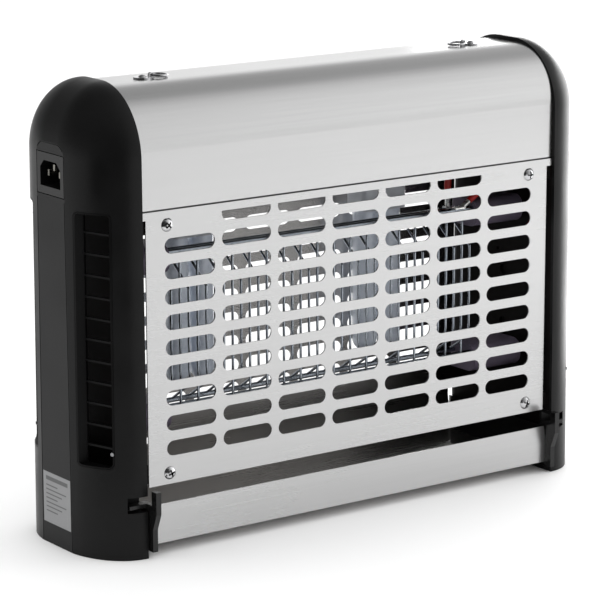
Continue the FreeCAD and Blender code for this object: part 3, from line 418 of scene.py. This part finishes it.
def studio_world():
    """Even white light all round; gloss sees a dark band behind and above, and a dark left side."""
    world = bpy.data.worlds.new("studio")
    bpy.context.scene.world = world
    world.use_nodes = True
    sky = NodeTree(world.node_tree)
    background = sky.tree.nodes["Background"]
    background.inputs["Strength"].default_value = WORLD_STRENGTH
    direction = sky.parts_of(sky.node("ShaderNodeTexCoord").outputs["Generated"])

    def ramp(value, steps):
        made = sky.node("ShaderNodeValToRGB")
        while len(made.color_ramp.elements) < len(steps):
            made.color_ramp.elements.new(0.5)
        for element, (place, grey) in zip(made.color_ramp.elements, steps):
            element.position = place
            element.color = (grey, grey, grey, 1.0)
        sky.link(value, made.inputs[0])
        return made.outputs[0]

    # Over the top of the sky: 0 at the back horizon and 1 at the front one. Across: 0 left, 1 right.
    over = sky.combined("DIVIDE", sky.combined("ARCTAN2", direction["Z"], direction["Y"]), math.pi)
    across = sky.combined("MULTIPLY_ADD", direction["X"], 0.5, 0.5)
    bands = sky.combined("MULTIPLY", ramp(over, SKY_STEPS), ramp(across, SIDE_STEPS))
    gloss = sky.combined("MULTIPLY", bands, GLOSS_GAIN)
    choice = sky.node("ShaderNodeMix", data_type="RGBA")
    choice.inputs[6].default_value = (1.0, 1.0, 1.0, 1.0)
    sky.link(sky.node("ShaderNodeLightPath").outputs["Is Glossy Ray"], choice.inputs[0])
    sky.link(gloss, choice.inputs[7])
    sky.link(choice.outputs[2], background.inputs["Color"])


def area_light(name, place, target, size, power):
    """Square soft light aimed at a point; it lights matt surfaces only and is never seen itself."""
    lamp = bpy.data.lights.new(name, "AREA")
    lamp.shape = "RECTANGLE"
    lamp.size = lamp.size_y = size
    lamp.energy = power
    made = placed(name, lamp)
    made.location = place
    made.visible_glossy = False
    made.visible_camera = False
    made.rotation_mode = "QUATERNION"
    made.rotation_quaternion = (Vector(target) - Vector(place)).to_track_quat("-Z", "Y")


studio_world()
bpy.context.scene.view_settings.view_transform = "Standard"
bpy.context.scene.view_settings.look = "None"
area_light("right", (1.05, -0.75, 0.5), (0.55, -0.45, 0.0), 0.5, 3.2)
area_light("top", (0.2, 0.3, 2.4), (0.0, 0.2, 0.0), 1.6, 5.0)


# ---------------------------------------------------------------- cards that only gloss sees

FLAG_HEIGHT = 0.8
FLAG_FEET = [(-0.52, -0.04), (-0.46, -0.30), (-0.34, -0.42), (-0.20, -0.46)]
GLOW_HEIGHT, GLOW_STRENGTH = 0.4, 4.5
GLOW_FEET = [(0.48, -0.12), (0.48, 0.5)]


def standing_card(name, feet, height, look):
    """Folded card that stands on the floor along its feet and shows only in reflections."""
    mesh = bpy.data.meshes.new(name)
    points = [(x, y, 0.0) for x, y in feet] + [(x, y, height) for x, y in feet]
    count = len(feet)
    mesh.from_pydata(points, [], [(i, i + 1, i + 1 + count, i + count) for i in range(count - 1)])
    mesh.materials.append(look.material)
    card = placed(name, mesh)
    card.visible_camera = False
    card.visible_diffuse = False
    card.visible_shadow = False
    card.visible_transmission = False


def dark_look(name):
    look = Material(name, (0.004, 0.004, 0.004), 0.9)
    look.vary_roughness(look.noise(8.0), 0.85, 0.95)
    look.vary_colour(look.noise(5.0), (0.003, 0.003, 0.003), (0.006, 0.006, 0.006))
    return look


def bright_look(name):
    look = Material(name, (0.9, 0.9, 0.9), 0.8)
    look.vary_colour(look.noise(4.0), (0.88, 0.88, 0.88), (0.92, 0.92, 0.92))
    look.set("Emission Color", (1.0, 1.0, 1.0, 1.0))
    look.set("Emission Strength", GLOW_STRENGTH)
    return look


standing_card("flag", FLAG_FEET, FLAG_HEIGHT, dark_look("flag"))
standing_card("glow", GLOW_FEET, GLOW_HEIGHT, bright_look("glow"))


# ---------------------------------------------------------------- camera

CAMERA_PLACE = Vector((-1.1414, -1.5756, 0.5849))
CAMERA_YAW, CAMERA_PITCH, CAMERA_ROLL = math.radians(35.63), math.radians(12.89), math.radians(-0.11)
CAMERA_LENS, SENSOR = 174.2, 36.0


def aim_camera():
    """Camera looking ahead along its yaw (from +Y toward +X) and pitch (down), then rolled."""
    ahead = Vector((math.sin(CAMERA_YAW) * math.cos(CAMERA_PITCH),
                    math.cos(CAMERA_YAW) * math.cos(CAMERA_PITCH), -math.sin(CAMERA_PITCH)))
    level_right = Vector((math.cos(CAMERA_YAW), -math.sin(CAMERA_YAW), 0.0))
    level_up = level_right.cross(ahead)
    right = level_right * math.cos(CAMERA_ROLL) + level_up * math.sin(CAMERA_ROLL)
    up = right.cross(ahead)
    turned = Matrix((right, up, -ahead)).transposed().to_4x4()
    data = bpy.data.cameras.new("camera")
    data.lens = CAMERA_LENS
    data.sensor_width = SENSOR
    data.clip_start, data.clip_end = 0.05, 50.0
    camera = placed("camera", data)
    camera.matrix_world = Matrix.Translation(CAMERA_PLACE) @ turned
    bpy.context.scene.camera = camera


aim_camera()


# ---------------------------------------------------------------- scene update

bpy.context.view_layer.update()
